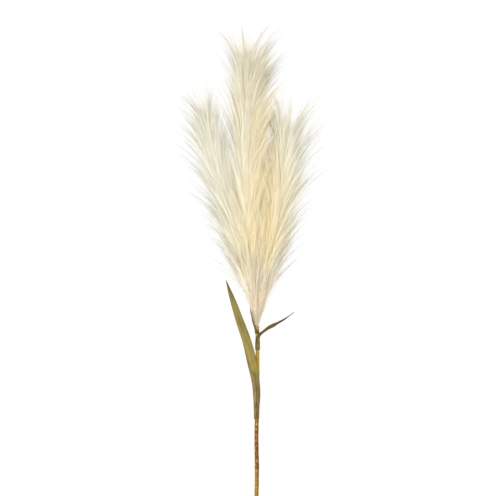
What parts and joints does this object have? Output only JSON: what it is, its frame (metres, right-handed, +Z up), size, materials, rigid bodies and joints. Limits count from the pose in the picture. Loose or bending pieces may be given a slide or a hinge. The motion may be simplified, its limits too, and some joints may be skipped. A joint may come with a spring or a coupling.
{
  "type": "artificial pampas grass stem",
  "caption": "Artificial pampas grass stem, lying down: silky cream plumes of curving locks, a strap leaf, a short leaf and a bract on a coated wire stem, for a vase or display.",
  "frame": {"origin": "middle of the footprint on the surface that the stem lies on", "axes": "+Y along the stem from its cut end towards the tip of the plumes, +X towards the short leaf, +Z up from the surface"},
  "size_m": [0.2526, 0.7808, 0.0734],
  "materials": {
    "stem_coat": "mustard plastic coat, mottled red-brown, satin",
    "filament": "silky cream filament with a soft sheen",
    "strap_leaf": "olive green printed leaf with a tan midrib, matt",
    "short_leaf": "dark brown-olive printed leaf, matt",
    "bract_leaf": "dark grey-green printed leaf, matt"
  },
  "bodies": {
    "root": {"stem": "stem_coat", "leaf_long": "strap_leaf", "leaf_short": "short_leaf", "bract": "bract_leaf", "plume_middle": "filament", "plume_left": "filament", "plume_right": "filament"}
  },
  "joints": []
}
